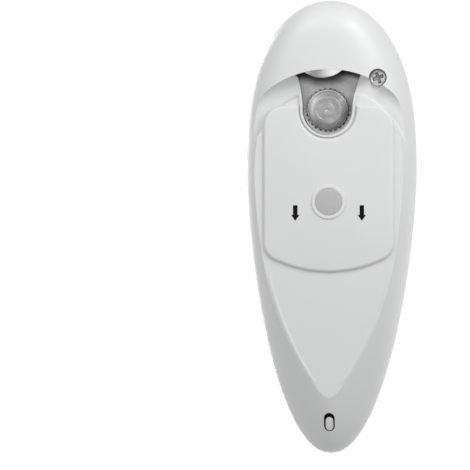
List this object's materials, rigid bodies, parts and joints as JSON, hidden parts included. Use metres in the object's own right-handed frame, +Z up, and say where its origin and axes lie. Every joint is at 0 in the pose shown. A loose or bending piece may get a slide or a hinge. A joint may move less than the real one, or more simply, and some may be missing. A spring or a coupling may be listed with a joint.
{
  "type": "electric can opener",
  "caption": "Hand-held battery can opener: teardrop housing with a black start button, underside rim valley, toothed drive wheel, eccentric cutting disc and sliding battery cover with a magnet.",
  "frame": {"origin": "centre of the bounding box in plan, at the level of the surface that the underside faces", "axes": "+Z up from the underside to the button side, +Y along the body from nose to tail, +X to the side"},
  "size_m": [0.0726, 0.192, 0.0515],
  "materials": {
    "shell_gloss": "smooth glossy light grey-white",
    "shell_satin": "satin light grey-white",
    "cover_satin": "satin light grey-white",
    "magnet_grey": "plated magnet face",
    "button_black": "glossy black",
    "spring_steel": "plated spring wire",
    "switch_white": "moulded",
    "switch_black": "moulded",
    "board_green": "solder-masked board",
    "screw_steel": "zinc plated",
    "motor_steel": "drawn steel can",
    "shaft_steel": "ground steel",
    "brass": "machined",
    "gear_white": "moulded acetal",
    "plate_steel": "stamped and plated",
    "bush_bronze": "sintered",
    "wheel_steel": "nickel plated",
    "pocket_steel": "stamped steel",
    "carrier_steel": "turned steel",
    "blade_steel": "polished cutting edge",
    "cell_wrap": "plain printed wrap",
    "contact_steel": "nickel plated",
    "case_screw_steel": "zinc plated"
  },
  "bodies": {
    "housing": {"top_shell": "shell_gloss", "bottom_shell": "shell_satin", "start_switch": "switch_black", "switch_board": "board_green", "board_screws": "screw_steel", "button_spring": "spring_steel", "motor_can": "motor_steel", "motor_end_cap": "switch_black", "motor_screws": "screw_steel", "gear_pins": "shaft_steel", "gear_plate": "plate_steel", "top_plate": "plate_steel", "plate_pillars": "plate_steel", "plate_screws": "screw_steel", "pillar_screws": "screw_steel", "drive_bushes": "bush_bronze", "pocket_plate": "pocket_steel", "stop_switch": "switch_black", "cell_front": "cell_wrap", "cell_rear": "cell_wrap", "battery_contacts": "contact_steel", "contact_springs": "spring_steel", "case_screws": "case_screw_steel"},
    "cover": {"battery_cover": "cover_satin", "magnet": "magnet_grey"},
    "start_button": {"button": "button_black", "switch_plunger": "switch_white"},
    "motor_rotor": {"motor_shaft": "shaft_steel", "motor_pinion": "brass"},
    "first_gear": {"gear_a": "gear_white"},
    "second_gear": {"gear_b": "gear_white"},
    "third_gear": {"gear_c": "gear_white"},
    "output": {"drive_gear": "gear_white", "drive_shaft": "shaft_steel", "drive_wheel": "wheel_steel"},
    "carrier": {"cutter_carrier": "carrier_steel", "cutter_axle": "shaft_steel", "stop_lever": "gear_white"},
    "blade": {"cutter_disc": "blade_steel"}
  },
  "joints": [
    {"name": "button_press", "type": "slide", "parent": "housing", "child": "start_button", "axis": [0, 0.3907, -0.9205], "range_m": [0, 0.0016], "stiffness_N_per_m": 600, "springref_m": -0.004, "deforming": ["button_spring"]},
    {"name": "drive_spin", "type": "hinge", "parent": "housing", "child": "output", "pos_m": [-0.0005, -0.0495, 0.0245], "axis": [0, 0, 1], "continuous": true},
    {"name": "third_gear_spin", "type": "hinge", "parent": "housing", "child": "third_gear", "pos_m": [-0.0183, -0.04231, 0.0245], "axis": [0, 0, 1], "continuous": true},
    {"name": "second_gear_spin", "type": "hinge", "parent": "housing", "child": "second_gear", "pos_m": [-0.0183, -0.02791, 0.0245], "axis": [0, 0, 1], "continuous": true},
    {"name": "first_gear_spin", "type": "hinge", "parent": "housing", "child": "first_gear", "pos_m": [-0.00789, -0.03569, 0.0245], "axis": [0, 0, 1], "continuous": true},
    {"name": "motor_spin", "type": "hinge", "parent": "housing", "child": "motor_rotor", "pos_m": [0, -0.026, 0.0245], "axis": [0, 0, 1], "continuous": true},
    {"name": "cutter_swing", "type": "hinge", "parent": "housing", "child": "carrier", "pos_m": [-0.003, -0.0744, 0.0245], "axis": [0, 0, 1], "range_deg": [0, 180]},
    {"name": "cutter_spin", "type": "hinge", "parent": "carrier", "child": "blade", "pos_m": [-0.003, -0.0762, 0.0245], "axis": [0, 0, 1], "continuous": true},
    {"name": "cover_slide", "type": "slide", "parent": "housing", "child": "cover", "axis": [0, 1, 0], "range_m": [0, 0.006]}
  ],
  "couplings": [
    {"joint": "third_gear_spin", "follows": "drive_spin", "ratio": -3},
    {"joint": "second_gear_spin", "follows": "drive_spin", "ratio": 9},
    {"joint": "first_gear_spin", "follows": "drive_spin", "ratio": -30},
    {"joint": "motor_spin", "follows": "drive_spin", "ratio": 120}
  ]
}
